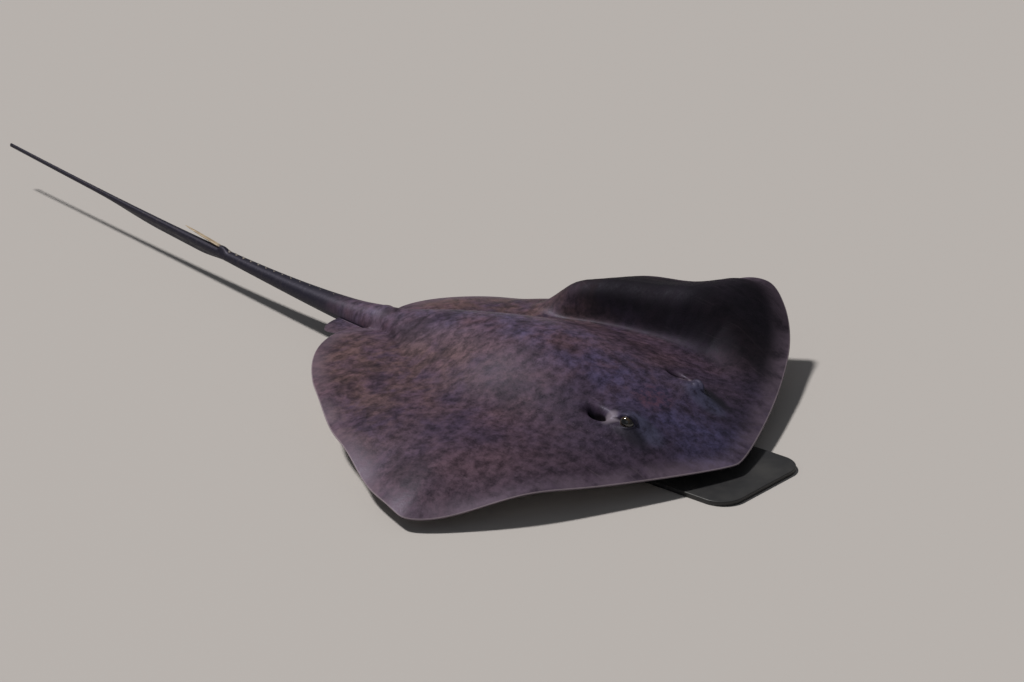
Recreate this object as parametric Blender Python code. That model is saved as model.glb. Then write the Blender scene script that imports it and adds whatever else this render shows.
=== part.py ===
"""Stingray, a still life-size museum model on a low display stand.

The animal is a short-tail stingray (Bathytoshia brevicaudata) swimming just above the sea bed, with
its left wing raised in a steep wave and its right wing spread low. It lies along Y: the snout points
to -Y, the tail to +Y, and +X is the animal's left. The origin is the middle of the stand's underside.

The body is one shape given by a few functions of flat coordinates (x across, y back from the snout),
and each named part is the piece of that shape between two lines, so neighbours meet along thin cuts.
"""

import math

import bmesh
import bpy
import numpy as np

for old in list(bpy.data.objects):
    bpy.data.objects.remove(old, do_unlink=True)

# Colours of the parts.
SKIN = (0.085, 0.066, 0.085)
SKIN_DARK = (0.050, 0.045, 0.060)
EYE_BLACK = (0.012, 0.010, 0.010)
BONE = (0.42, 0.34, 0.24)
STAND_BLACK = (0.030, 0.030, 0.032)
STEEL = (0.56, 0.57, 0.58)

# Disc outline, flat and before posing (metres).
HALF_SPAN = 0.60
TIP_BACK = 0.342
DISC_LENGTH = 0.985
SNOUT_ROUND = 0.064
LEADING_ROUND = 0.094
TRAILING_ROUND = 0.072
REAR_ROUND = 0.228
LOBE_HALF = 0.095
INSERTION_BACK = 0.955

# Thickness.
RIM_RADIUS = 0.0015
WING_TOP = 0.030
WING_BOTTOM = 0.017
WING_REACH = 0.13
HUMP_TOP = 0.076
HUMP_BOTTOM = 0.028
HUMP_HALF = 0.29

# Tail: half width falls from the root to a whip, with a fold of skin below it behind the sting.
TAIL_END_BACK = 2.42
TAIL_ROOT_HALF = 0.040
TAIL_TIP_HALF = 0.0026
TAIL_TAPER = 0.42
TAIL_ROUND = 0.85
TAIL_FOLD_DEPTH = 0.012
TAIL_FOLD_HALF = 0.004

# Eyes and the spiracles, the large breathing holes just behind them.
EYE_SIDE = 0.109
EYE_BACK = 0.188
EYE_RADIUS = 0.0175
EYE_SINK = 0.0095
BROW_HEIGHT = 0.017
SPIRACLE_SIDE = 0.127
SPIRACLE_BACK = 0.251
SPIRACLE_DEPTH = 0.016

# Pelvic fins: small paddles beside the root of the tail, under the rear lobes.
FIN_FRONT = 0.962
FIN_REAR = 1.055
FIN_SIDE = 0.106
FIN_DEPTH = 0.0075
FIN_THICK = 0.0060

# Sting: a flat bony spine that lies on the tail and points back.
STING_BACK = 1.50
STING_LENGTH = 0.15
STING_HALF = 0.0055
STING_THICK = 0.0045
STING_LIFT = 4.0

# Pose: heights above the floor in metres, slopes of the wings and yaw of the tail in degrees.
BODY_HEIGHT = 0.076
SNOUT_DROP = 0.045
SNOUT_REACH = 0.55
FOLD_LINE = 0.29
WAVE_SLOPE = 73.0
WAVE_FALL = 0.292
WAVE_TURN = 0.14
WAVE_FLARE = 8.0
CREST_FRONT = 0.17
CREST_GROW = 0.24
CREST_REAR = 0.62
CREST_SHED = 0.145
LEFT_REAR_DROOP = 10.5
RIGHT_DROOP = 17.5
RIM_RIPPLE = 0.006
RIPPLE_LENGTH = 0.20
RIPPLE_BACK = 0.27
TAIL_YAW = 9.1
TAIL_BEND = 0.20
TAIL_RISE = 0.032

# Display stand: a long narrow plate that reaches out before the snout, and two rods under the heaviest
# part of the body.
STAND_BACK = 0.40
BASE_LENGTH = 0.94
BASE_WIDTH = 0.26
BASE_THICK = 0.010
BASE_CORNER = 0.050
ROD_BACK = 0.52
ROD_RADIUS = 0.009
ROD_SPREAD = 0.11
ROD_SEAT = 0.016

# Columns of the wings, as shares of the way out: the left wing's crowd at the fold and at the crest.
WAVE_COLUMNS = np.array([0, 0.11, 0.18, 0.24, 0.32, 0.41, 0.46, 0.505, 0.56, 0.68, 0.82, 0.93, 1])
PLAIN_COLUMNS = np.array([0, 0.12, 0.25, 0.38, 0.51, 0.64, 0.76, 0.87, 0.95, 1])

# Cuts between the parts.
CUT_GAP = 0.0003
WING_CUT = 0.21
HEAD_CUT = 0.37
TAIL_MIDDLE_CUT = 1.45
TAIL_END_CUT = 1.90


def ease(start, end, value):
    """Smooth step from 0 at start to 1 at end."""
    t = np.clip((value - start) / (end - start), 0.0, 1.0)
    return t * t * (3.0 - 2.0 * t)


def bezier(points, t):
    """Cubic curve through four control points, at the parameters t."""
    a, b, c, d = (np.asarray(point, dtype=float) for point in points)
    t = np.asarray(t, dtype=float)[:, None]
    return (1 - t) ** 3 * a + 3 * (1 - t) ** 2 * t * b + 3 * (1 - t) * t**2 * c + t**3 * d


def leading_edge(t):
    """Front margin of one wing, from the snout to the wing tip."""
    tip = (HALF_SPAN, TIP_BACK)
    return bezier(((0, 0), (SNOUT_ROUND, 0), (HALF_SPAN, TIP_BACK - LEADING_ROUND), tip), t)


def trailing_edge(t):
    """Rear margin of one wing, from the wing tip to the rear lobe."""
    tip = (HALF_SPAN, TIP_BACK)
    lobe = (LOBE_HALF, DISC_LENGTH)
    shoulder = (LOBE_HALF + REAR_ROUND, DISC_LENGTH)
    return bezier((tip, (HALF_SPAN, TIP_BACK + TRAILING_ROUND), shoulder, lobe), t)


def inner_margin(t):
    """Short margin from the rear lobe in to the root of the tail."""
    lobe = (LOBE_HALF, DISC_LENGTH)
    root = (TAIL_ROOT_HALF, INSERTION_BACK)
    turn = (LOBE_HALF - 0.025, DISC_LENGTH)
    notch = (TAIL_ROOT_HALF + 0.012, INSERTION_BACK + 0.008)
    return bezier((lobe, turn, notch, root), t)


def tail_half(back):
    """Half width of the tail at a distance back from the snout."""
    fall = np.exp(-(back - INSERTION_BACK) / TAIL_TAPER)
    return TAIL_TIP_HALF + (TAIL_ROOT_HALF - TAIL_TIP_HALF) * fall


def rim_line():
    """Outline of one side of the flat animal, from the snout to the end of the tail."""
    t = np.linspace(0, 1, 120)
    back = np.linspace(INSERTION_BACK, TAIL_END_BACK + 0.05, 200)
    tail = np.stack([tail_half(back), back], axis=1)
    return np.concatenate([leading_edge(t), trailing_edge(t), inner_margin(t), tail])


RIM = rim_line()


def rim_half(back):
    """Half width of the disc at a distance back from the snout, up to the rear lobe."""
    t = np.linspace(0, 1, 400)
    edge = np.concatenate([leading_edge(t), trailing_edge(t)[1:]])
    return np.interp(back, edge[:, 1], edge[:, 0])


def rim_distance(x, y):
    """Distance from flat points to the outline, measured to its straight segments."""
    start = RIM[:-1]
    step = RIM[1:] - RIM[:-1]
    point = np.stack([np.abs(x), y], axis=-1).reshape(-1, 1, 2)
    t = ((point - start) * step).sum(-1) / np.maximum((step**2).sum(-1), 1e-12)
    foot = start + np.clip(t, 0, 1)[..., None] * step
    return np.sqrt(((point - foot) ** 2).sum(-1)).min(axis=1).reshape(np.shape(x))


def blade(d, y, fullness):
    """Half thickness of the disc: a round rim, then a rise that flattens out inwards."""
    rim = RIM_RADIUS * np.sqrt(1 - (1 - np.minimum(d / RIM_RADIUS, 1)) ** 2)
    return rim + fullness * (1 - np.exp(-d / WING_REACH)) * (1 - ease(0.90, 1.05, y))


def hump(x, y, d, crown):
    """Swelling along the middle of the body, which narrows to the round section of the tail."""
    rear = ease(0.50, INSERTION_BACK, y)
    half = np.where(y < INSERTION_BACK, HUMP_HALF + (TAIL_ROOT_HALF - HUMP_HALF) * rear, tail_half(y))
    power = 2.3 - 1.8 * ease(0.60, INSERTION_BACK, y)
    inset = 1 - np.exp(-d / 0.05) * (1 - ease(0.80, INSERTION_BACK, y))
    return crown * inset * np.maximum(1 - (x / half) ** 2, 0) ** power


def top_height(x, y):
    """Height of the back above the middle surface."""
    d = rim_distance(x, y)
    root = TAIL_ROUND * TAIL_ROOT_HALF
    crown = HUMP_TOP * ease(-0.03, 0.52, y) - (HUMP_TOP - root) * ease(0.50, INSERTION_BACK, y)
    crown = np.where(y < INSERTION_BACK, crown, TAIL_ROUND * tail_half(y))
    return blade(d, y, WING_TOP) + hump(x, y, d, crown) + head_relief(x, y)


def bottom_height(x, y):
    """Depth of the belly below the middle surface."""
    d = rim_distance(x, y)
    crown = HUMP_BOTTOM * ease(0.02, 0.36, y)
    crown = np.where(y < INSERTION_BACK, crown, HUMP_BOTTOM / TAIL_ROOT_HALF * tail_half(y))
    fold = TAIL_FOLD_DEPTH * ease(1.45, 1.60, y) * (1 - ease(1.75, 2.05, y))
    return blade(d, y, WING_BOTTOM) + hump(x, y, d, crown) + fold * np.exp(-((x / TAIL_FOLD_HALF) ** 2))


def head_relief(x, y):
    """Raised brow over each eye and the sunk spiracle behind it."""
    side = np.abs(x)
    brow = ((side - EYE_SIDE + 0.010) / 0.030) ** 2 + ((y - EYE_BACK) / 0.040) ** 2
    pit = ((side - SPIRACLE_SIDE) / 0.015) ** 2 + ((y - SPIRACLE_BACK) / 0.026) ** 2
    return BROW_HEIGHT * np.exp(-brow) - SPIRACLE_DEPTH * np.exp(-(pit**2))


def wing_slope(x, y):
    """Slope of the middle surface across the body, in radians, outwards and upwards positive."""
    out = np.abs(x)
    edge = rim_half(y)
    fold = np.minimum(FOLD_LINE, 0.5 * edge)
    t = (out - fold) / np.maximum(edge - fold, 0.02)
    flare = WAVE_SLOPE + WAVE_FLARE * ease(0.25, 0.55, y)
    wave = WAVE_SLOPE * ease(-0.12, 0.18, t) - flare * ease(WAVE_FALL, WAVE_FALL + WAVE_TURN, t)
    grown = ease(CREST_FRONT, CREST_FRONT + CREST_GROW, y)
    crest = grown * (1 - ease(CREST_REAR, CREST_REAR + CREST_SHED, y))
    rear = LEFT_REAR_DROOP * ease(0.12, 0.45, out) * ease(0.60, 0.80, y)
    left = wave * crest - rear
    right = -RIGHT_DROOP * ease(0.28, 0.62, out)
    return np.radians(np.where(x > 0, left, right))


def rim_share(x, y):
    """Share of the way out to the rim, faded out along the front and the rear of the disc."""
    share = np.abs(x) / np.maximum(rim_half(y), 0.02)
    return np.clip(share, 0, 1) * ease(0.02, 0.20, y) * (1 - ease(0.80, 0.93, y))


NODES, WEIGHTS = np.polynomial.legendre.leggauss(24)


def middle_height(y):
    """Height of the middle surface on the axis: the snout dips, and the tail rises to its end."""
    dip = np.clip(1 - y / SNOUT_REACH, 0, 1) ** 2
    rise = np.clip((y - INSERTION_BACK) / (TAIL_END_BACK - INSERTION_BACK), 0, 1) ** 1.6
    return BODY_HEIGHT - SNOUT_DROP * dip + TAIL_RISE * rise


def posed(x, y, height):
    """World position of a flat point at a height over the middle surface."""
    x, y, height = np.broadcast_arrays(np.asarray(x, dtype=float), y, height)
    steps = x[..., None] * (NODES + 1) / 2
    slope = wing_slope(steps, np.broadcast_to(y[..., None], steps.shape))
    across = x * (np.cos(slope) * WEIGHTS).sum(-1) / 2
    rise = np.abs(x) * (np.sin(slope) * WEIGHTS).sum(-1) / 2
    here = wing_slope(x, y)
    across = across - np.sign(x) * np.sin(here) * height
    turn = 2 * math.pi * (y - RIPPLE_BACK) / RIPPLE_LENGTH
    ripple = -RIM_RIPPLE * np.cos(turn) * rim_share(x, y) ** 3
    up = middle_height(y) + rise + ripple + np.cos(here) * height
    behind = np.maximum(y - INSERTION_BACK, 0)
    sway = math.tan(math.radians(TAIL_YAW)) * (behind - TAIL_BEND * (1 - np.exp(-behind / TAIL_BEND)))
    return np.stack([across + sway, y - STAND_BACK, up], axis=-1)


def finish_mesh(bm, name, material):
    """Close, orient and smooth a mesh, and put it in the scene as one named part."""
    bmesh.ops.remove_doubles(bm, verts=bm.verts[:], dist=2e-5)
    bmesh.ops.dissolve_degenerate(bm, edges=bm.edges[:], dist=2e-5)
    bmesh.ops.recalc_face_normals(bm, faces=bm.faces[:])
    mesh = bpy.data.meshes.new(name)
    bm.to_mesh(mesh)
    bm.free()
    mesh.shade_smooth()
    mesh.set_sharp_from_angle(angle=math.radians(50))
    mesh.materials.append(material)
    part = bpy.data.objects.new(name, mesh)
    bpy.context.collection.objects.link(part)
    return part


def shell(name, top, bottom, material):
    """Closed solid between two grids of points that share their rows and columns."""
    rows, columns = top.shape[:2]
    bm = bmesh.new()
    upper = [[bm.verts.new(point) for point in row] for row in top]
    lower = [[bm.verts.new(point) for point in row] for row in bottom]
    for i in range(rows - 1):
        for j in range(columns - 1):
            bm.faces.new((upper[i][j], upper[i][j + 1], upper[i + 1][j + 1], upper[i + 1][j]))
            bm.faces.new((lower[i][j], lower[i + 1][j], lower[i + 1][j + 1], lower[i][j + 1]))
        bm.faces.new((upper[i][0], upper[i + 1][0], lower[i + 1][0], lower[i][0]))
        bm.faces.new((upper[i][-1], lower[i][-1], lower[i + 1][-1], upper[i + 1][-1]))
    for j in range(columns - 1):
        bm.faces.new((upper[0][j], lower[0][j], lower[0][j + 1], upper[0][j + 1]))
        bm.faces.new((upper[-1][j], upper[-1][j + 1], lower[-1][j + 1], lower[-1][j]))
    return finish_mesh(bm, name, material)


def flesh(name, x, y, material):
    """One part of the body: the stretch of it over a grid of flat points."""
    top = posed(x, y, top_height(x, y))
    bottom = posed(x, y, -bottom_height(x, y))
    return shell(name, top, bottom, material)


def across(count, grade):
    """Shares from -1 to 1 across the body, closer together towards both rims."""
    share = np.linspace(-1, 1, count)
    return share * (1 - grade) + np.sin(share * math.pi / 2) * grade


def paint(name, colour, roughness, metallic=0.0):
    """Plain material of one part."""
    material = bpy.data.materials.new(name)
    material.use_nodes = True
    shader = material.node_tree.nodes["Principled BSDF"]
    shader.inputs["Base Color"].default_value = (*colour, 1.0)
    shader.inputs["Roughness"].default_value = roughness
    shader.inputs["Metallic"].default_value = metallic
    return material


def cut_rows():
    """Distances back along the wing cut: where it enters the disc, at the head's rear, where it leaves."""
    edge = leading_edge(np.linspace(0, 1, 400))
    front = np.interp(WING_CUT, edge[:, 0], edge[:, 1])
    edge = trailing_edge(np.linspace(0, 1, 400))
    rear = np.interp(-WING_CUT, -edge[:, 0], edge[:, 1])
    beside_head = front + (HEAD_CUT - front) * np.linspace(0, 1, 12)
    beside_trunk = rear + (HEAD_CUT - rear) * np.linspace(1, 0, 15) ** 1.25
    return beside_head, beside_trunk


def make_head():
    """Snout, brows and spiracles, cut off square behind the spiracles."""
    beside, _ = cut_rows()
    snout = beside[0] * np.linspace(0, 1, 10)[:-1] ** 1.35
    back = np.concatenate([snout, beside])
    back[-1] -= CUT_GAP / 2
    side = np.minimum(rim_half(back), WING_CUT - CUT_GAP / 2)
    side[0] = 0.0
    x = side[:, None] * across(25, 0.35)
    y = np.repeat(back[:, None], 25, axis=1)
    return flesh("head", x, y, paint("head_skin", SKIN, 0.42))


def make_trunk():
    """Middle of the disc, with the two rear lobes that flank the root of the tail."""
    _, beside = cut_rows()
    beside[0] += CUT_GAP / 2
    cut = WING_CUT - CUT_GAP / 2
    edge = trailing_edge(np.linspace(0, 1, 300))
    edge = edge[edge[:, 0] < cut - 0.01]
    lobe = edge[np.linspace(0, len(edge) - 1, 5).astype(int)]
    notch = inner_margin(np.linspace(0, 1, 5)[1:])
    notch[:, 1] -= CUT_GAP / 2
    straight = np.stack([np.full(len(beside), cut), beside], axis=1)
    outer = np.concatenate([straight, lobe, notch])
    middle = beside[0] + (INSERTION_BACK - CUT_GAP / 2 - beside[0]) * np.linspace(0, 1, len(outer))
    share = across(19, 0.5)
    x = outer[:, 0:1] * share
    y = middle[:, None] + (outer[:, 1:2] - middle[:, None]) * share**2
    return flesh("trunk", x, y, paint("trunk_skin", SKIN, 0.42))


def make_wing(name, side):
    """One wing, from the cut beside the trunk out to the rim; side is 1 for left, -1 for right."""
    cut = WING_CUT + CUT_GAP / 2
    beside_head, beside_trunk = cut_rows()
    back = np.concatenate([beside_head, beside_trunk[1:]])
    reach = np.maximum(rim_half(back) - cut, 0)
    reach[[0, -1]] = 0.0
    share = WAVE_COLUMNS if side > 0 else PLAIN_COLUMNS
    x = side * (cut + reach[:, None] * share)
    y = np.repeat(back[:, None], len(share), axis=1)
    return flesh(name, x, y, paint(name + "_skin", SKIN, 0.42))


def make_tail(name, start, end, rows):
    """One length of the tail between two cuts."""
    back = np.linspace(start, end, rows)
    x = tail_half(back)[:, None] * across(9, 1.0)
    y = np.repeat(back[:, None], 9, axis=1)
    return flesh(name, x, y, paint(name + "_skin", SKIN_DARK, 0.45))


def tail_side(back, depth):
    """How far the tail's flank stands out at a depth below its middle."""
    floor = HUMP_BOTTOM / TAIL_ROOT_HALF * tail_half(back)
    return tail_half(back) * np.sqrt(1 - np.minimum(depth / floor, 0.98) ** 2) + RIM_RADIUS


def make_pelvic_fin(name, side):
    """A paddle with a round rear corner, seated against the tail's flank."""
    t = np.linspace(0, 1, 11)
    back = FIN_FRONT + (FIN_REAR - FIN_FRONT) * t
    reach = (FIN_SIDE - TAIL_ROOT_HALF) * (1 - (1 - np.minimum(t / 0.75, 1)) ** 2) ** 0.6
    reach = reach * np.sqrt(np.maximum(1 - (np.maximum(t - 0.60, 0) / 0.41) ** 2, 0))
    share = np.linspace(0, 1, 7)
    half = FIN_THICK / 2 * np.sqrt(1 - 0.97 * share**2) * np.ones((11, 1))
    grids = []
    for sign in (1, -1):
        inner = tail_side(back, FIN_DEPTH - sign * FIN_THICK / 2) + 2 * CUT_GAP
        x = side * (inner[:, None] + np.maximum(reach, 0.002)[:, None] * share)
        y = np.repeat(back[:, None], 7, axis=1)
        grids.append(posed(x, y, -FIN_DEPTH + sign * half))
    return shell(name, grids[0], grids[1], paint(name + "_skin", SKIN, 0.45))


def eye_centre(side):
    """Middle of one eyeball, sunk under the surface of the brow."""
    x = np.array([side * EYE_SIDE])
    y = np.array([EYE_BACK])
    return tuple(posed(x, y, top_height(x, y) - EYE_SINK)[0])


def ball(name, centre, radius, material, segments=18, rings=10):
    """A sphere placed by its location."""
    bm = bmesh.new()
    bmesh.ops.create_uvsphere(bm, u_segments=segments, v_segments=rings, radius=radius)
    part = finish_mesh(bm, name, material)
    part.location = centre
    return part


def rod(name, back, bottom, top, radius, material, sides=24):
    """An upright round bar, placed by the middle of its length."""
    bm = bmesh.new()
    bmesh.ops.create_cone(
        bm, cap_ends=True, segments=sides, radius1=radius, radius2=radius, depth=top - bottom
    )
    part = finish_mesh(bm, name, material)
    part.location = (0, back - STAND_BACK, (bottom + top) / 2)
    return part


def cut(part, cutter):
    """Take a hidden cutter out of a part."""
    cutter.hide_render = True
    cutter.display_type = "WIRE"
    boolean = part.modifiers.new("cut_" + cutter.name, "BOOLEAN")
    boolean.operation = "DIFFERENCE"
    boolean.solver = "EXACT"
    boolean.object = cutter


def make_sting():
    """Tapered, flattened spine seated on the tail, its point lifted a little."""
    along = np.linspace(0, 1, 7)
    width = STING_HALF * np.sqrt(1 - along**2 * 0.998)
    turn = np.linspace(0, 2 * math.pi, 9)[:-1]
    seat = top_height(np.zeros(1), np.array([STING_BACK]))[0] + CUT_GAP + STING_THICK / 2
    rise = seat + along * STING_LENGTH * math.tan(math.radians(STING_LIFT))
    x = width[:, None] * np.cos(turn)
    y = np.repeat((STING_BACK + along * STING_LENGTH)[:, None], 8, axis=1)
    z = rise[:, None] + STING_THICK / 2 * (width / STING_HALF)[:, None] * np.sin(turn)
    points = posed(x, y, z)
    bm = bmesh.new()
    rings = [[bm.verts.new(point) for point in ring] for ring in points]
    for near, far in zip(rings, rings[1:]):
        for k in range(8):
            bm.faces.new((near[k], near[(k + 1) % 8], far[(k + 1) % 8], far[k]))
    bm.faces.new(rings[0])
    bm.faces.new(rings[-1])
    return finish_mesh(bm, "tail_spine", paint("tail_spine_bone", BONE, 0.5))


def make_base():
    """Flat plate of the stand, with round corners and a softened top edge."""
    bm = bmesh.new()
    bmesh.ops.create_cube(bm, size=1.0)
    bmesh.ops.scale(bm, verts=bm.verts[:], vec=(BASE_WIDTH, BASE_LENGTH, BASE_THICK))
    upright = [edge for edge in bm.edges if abs(edge.verts[0].co.z - edge.verts[1].co.z) > BASE_THICK / 2]
    bmesh.ops.bevel(bm, geom=upright, offset=BASE_CORNER, segments=8, profile=0.5, affect="EDGES")
    part = finish_mesh(bm, "stand_base", paint("stand_base_steel", STAND_BLACK, 0.45))
    part.location = (0, 0, BASE_THICK / 2)
    soften = part.modifiers.new("softened_edge", "BEVEL")
    soften.width = 0.0015
    soften.segments = 2
    soften.limit_method = "ANGLE"
    soften.angle_limit = math.radians(50)
    return part


def belly_height(back):
    """Height of the lowest line of the belly above the floor."""
    x = np.zeros(1)
    y = np.array([back])
    return float(posed(x, y, -bottom_height(x, y))[0, 2])


head = make_head()
trunk = make_trunk()
make_wing("wing_left", 1)
make_wing("wing_right", -1)
make_tail("tail_base", INSERTION_BACK + CUT_GAP / 2, TAIL_MIDDLE_CUT - CUT_GAP / 2, 13)
make_tail("tail_middle", TAIL_MIDDLE_CUT + CUT_GAP / 2, TAIL_END_CUT - CUT_GAP / 2, 10)
make_tail("tail_end", TAIL_END_CUT + CUT_GAP / 2, TAIL_END_BACK, 8)
make_pelvic_fin("pelvic_fin_left", 1)
make_pelvic_fin("pelvic_fin_right", -1)
make_sting()

for word, side in (("left", 1), ("right", -1)):
    centre = eye_centre(side)
    ball("eye_" + word, centre, EYE_RADIUS, paint("eye_" + word + "_black", EYE_BLACK, 0.08))
    socket = ball("socket_" + word, centre, EYE_RADIUS + CUT_GAP, head.data.materials[0])
    cut(head, socket)

make_base()
for word, shift in (("front", -ROD_SPREAD), ("rear", ROD_SPREAD)):
    back = ROD_BACK + shift
    top = belly_height(back) + ROD_SEAT
    steel = paint("stand_rod_" + word + "_steel", STEEL, 0.28, 1.0)
    rod("stand_rod_" + word, back, BASE_THICK + CUT_GAP, top, ROD_RADIUS, steel)
    seat = rod("seat_" + word, back, 0.0, top + CUT_GAP, ROD_RADIUS + CUT_GAP, steel)
    cut(trunk, seat)
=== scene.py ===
"""Stingray, a still life-size museum model on a low plate with two rods.

The animal is a short-tail stingray swimming close to the bottom: its left wing is thrown up in a steep
wave, its right wing lies low, and the tail trails behind with a small bend at its root. The snout points
to -Y, the tail to +Y, +X is the animal's left, and the origin is the middle of the plate's underside.
"""

import math
from functools import partial

import bpy
import numpy as np
from bpy.types import NodeSocket
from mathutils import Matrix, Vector
from mathutils.kdtree import KDTree


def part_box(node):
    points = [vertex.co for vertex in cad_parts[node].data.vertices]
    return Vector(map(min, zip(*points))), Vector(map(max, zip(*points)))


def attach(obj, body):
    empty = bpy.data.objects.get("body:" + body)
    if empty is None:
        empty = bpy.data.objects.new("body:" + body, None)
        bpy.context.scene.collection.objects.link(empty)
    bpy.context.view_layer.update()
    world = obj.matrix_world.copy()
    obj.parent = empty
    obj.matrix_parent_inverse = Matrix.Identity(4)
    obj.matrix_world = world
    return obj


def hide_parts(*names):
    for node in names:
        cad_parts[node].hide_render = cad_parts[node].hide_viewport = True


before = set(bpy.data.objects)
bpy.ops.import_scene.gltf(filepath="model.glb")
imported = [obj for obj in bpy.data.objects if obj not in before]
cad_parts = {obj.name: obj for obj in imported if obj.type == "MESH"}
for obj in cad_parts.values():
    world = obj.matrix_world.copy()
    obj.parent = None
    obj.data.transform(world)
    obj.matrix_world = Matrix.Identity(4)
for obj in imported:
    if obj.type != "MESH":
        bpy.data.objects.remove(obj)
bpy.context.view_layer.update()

# --------------------
# Hide: one closed skin over disc, tail and pelvic fins, smooth and without scales, plum-grey above and
# white below. It is cast in one piece over the solid body, so no cut between the solids shows.

# Flat plan of the animal: x across the body and y back from the snout, in metres.
HALF_SPAN = 0.60
TIP_BACK = 0.342
DISC_LENGTH = 0.985
SNOUT_ROUND = 0.064
LEADING_ROUND = 0.094
TRAILING_ROUND = 0.072
REAR_ROUND = 0.228
LOBE_HALF = 0.095
ROOT_BACK = 0.955
TAIL_END_BACK = 2.42
ROOT_HALF = 0.040
TAIL_TIP_HALF = 0.0026
TAIL_TAPER = 0.42

# Control points of three cubic curves down one side: front margin, rear margin, and the short margin that
# turns forwards from the rear lobe to the root of the tail.
TIP = (HALF_SPAN, TIP_BACK)
LOBE = (LOBE_HALF, DISC_LENGTH)
ROOT = (ROOT_HALF, ROOT_BACK)
FRONT_MARGIN = ((0, 0), (SNOUT_ROUND, 0), (HALF_SPAN, TIP_BACK - LEADING_ROUND), TIP)
REAR_MARGIN = (TIP, (HALF_SPAN, TIP_BACK + TRAILING_ROUND), (LOBE_HALF + REAR_ROUND, DISC_LENGTH), LOBE)
INNER_MARGIN = (LOBE, (LOBE_HALF - 0.025, DISC_LENGTH), (ROOT[0] + 0.012, ROOT[1] + 0.008), ROOT)
MARGINS = (FRONT_MARGIN, REAR_MARGIN, INNER_MARGIN)


def ease(start, end, value):
    """Smooth step: 3t^2 - 2t^3, where t is the share of the way from start to end."""
    t = np.clip((value - start) / (end - start), 0.0, 1.0)
    return t * t * (3.0 - 2.0 * t)


def mound(value, centre, width, power=2):
    """Rounded mound: exp(-((value - centre) / width)^power); a power of 4 flattens its top."""
    return np.exp(-(((value - centre) / width) ** power))


def bezier(points, t):
    """Cubic curve: the control points weighted by (1-t)^3, 3(1-t)^2 t, 3(1-t) t^2 and t^3."""
    a, b, c, d = (np.asarray(point, dtype=float) for point in points)
    t = np.asarray(t, dtype=float)[:, None]
    return (1 - t) ** 3 * a + 3 * (1 - t) ** 2 * t * b + 3 * (1 - t) * t**2 * c + t**3 * d


def tail_half(back):
    """Half width of the tail: an exponential fall from the root to the whip's own half width."""
    fall = np.exp(-(back - ROOT_BACK) / TAIL_TAPER)
    return TAIL_TIP_HALF + (ROOT_HALF - TAIL_TIP_HALF) * fall


def rim_line():
    """Outline of one side of the flat animal, from the snout to the end of the tail."""
    t = np.linspace(0, 1, 120)
    back = np.linspace(ROOT_BACK, TAIL_END_BACK + 0.05, 200)
    tail = np.stack([tail_half(back), back], axis=1)
    return np.concatenate([*(bezier(margin, t) for margin in MARGINS), tail])


RIM = rim_line()


def rim_half(back):
    """Half width of the disc at a distance back from the snout, read off the two margins."""
    t = np.linspace(0, 1, 400)
    edge = np.concatenate([bezier(FRONT_MARGIN, t), bezier(REAR_MARGIN, t)[1:]])
    return np.interp(back, edge[:, 1], edge[:, 0])


def rim_distance(x, y):
    """Distance from flat points to the outline: the least over its straight segments."""
    start = RIM[:-1]
    step = RIM[1:] - RIM[:-1]
    squared = np.maximum((step**2).sum(-1), 1e-12)
    points = np.stack([np.abs(x), y], axis=-1).reshape(-1, 1, 2)
    least = []
    for point in np.array_split(points, 1 + len(points) // 2000):
        t = np.clip(((point - start) * step).sum(-1) / squared, 0, 1)
        foot = start + t[..., None] * step
        least.append(np.sqrt(((point - foot) ** 2).sum(-1)).min(axis=1))
    return np.concatenate(least).reshape(np.shape(x))


# Flesh: a thin blade that thickens to a hump along the middle, and a round tail.
RIM_RADIUS = 0.0015
WING_TOP = 0.030
WING_BOTTOM = 0.017
WING_REACH = 0.13
HUMP_TOP = 0.076
HUMP_BOTTOM = 0.028
HUMP_HALF = 0.29
TAIL_ROUND = 0.85
TAIL_FOLD_DEPTH = 0.012
TAIL_FOLD_HALF = 0.004


def blade(d, y, fullness):
    """Half thickness of the disc: a quarter circle at the rim, then 1 - exp(-d / reach) inwards."""
    rim = RIM_RADIUS * np.sqrt(1 - (1 - np.minimum(d / RIM_RADIUS, 1)) ** 2)
    return rim + fullness * (1 - np.exp(-d / WING_REACH)) * (1 - ease(0.90, 1.05, y))


def hump(x, y, d, crown):
    """Swelling along the middle: crown * (1 - (x / half)^2)^power, narrowing to the round tail."""
    rear = ease(0.50, ROOT_BACK, y)
    half = np.where(y < ROOT_BACK, HUMP_HALF + (ROOT_HALF - HUMP_HALF) * rear, tail_half(y))
    power = 2.3 - 1.8 * ease(0.60, ROOT_BACK, y)
    inset = 1 - np.exp(-d / 0.05) * (1 - ease(0.80, ROOT_BACK, y))
    return crown * inset * np.maximum(1 - (x / half) ** 2, 0) ** power


# Back: a brow over each eye, a spiracle, the breathing hole, behind it, and low relief elsewhere.
EYE_SIDE = 0.109
EYE_BACK = 0.188
BROW_HEIGHT = 0.017
SPIRACLE_SIDE = 0.127
SPIRACLE_BACK = 0.251
SPIRACLE_DEPTH = 0.016
LIP_HEIGHT = 0.0020
THROAT_DEPTH = 0.0150
SLEEVE_HEIGHT = 0.0066
SLEEVE_HALF = 0.0088
RAY_HEIGHT = 0.00012
RAYS_PER_RADIAN = 110.0
SWELL_HEIGHT = 0.0007


def head_relief(x, y):
    """Brow over each eye, a Gaussian mound, and the spiracle behind it, a flat-floored Gaussian pit."""
    side = np.abs(x)
    brow = ((side - EYE_SIDE + 0.010) / 0.030) ** 2 + ((y - EYE_BACK) / 0.040) ** 2
    pit = ((side - SPIRACLE_SIDE) / 0.015) ** 2 + ((y - SPIRACLE_BACK) / 0.026) ** 2
    return BROW_HEIGHT * np.exp(-brow) - SPIRACLE_DEPTH * np.exp(-(pit**2))


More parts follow.
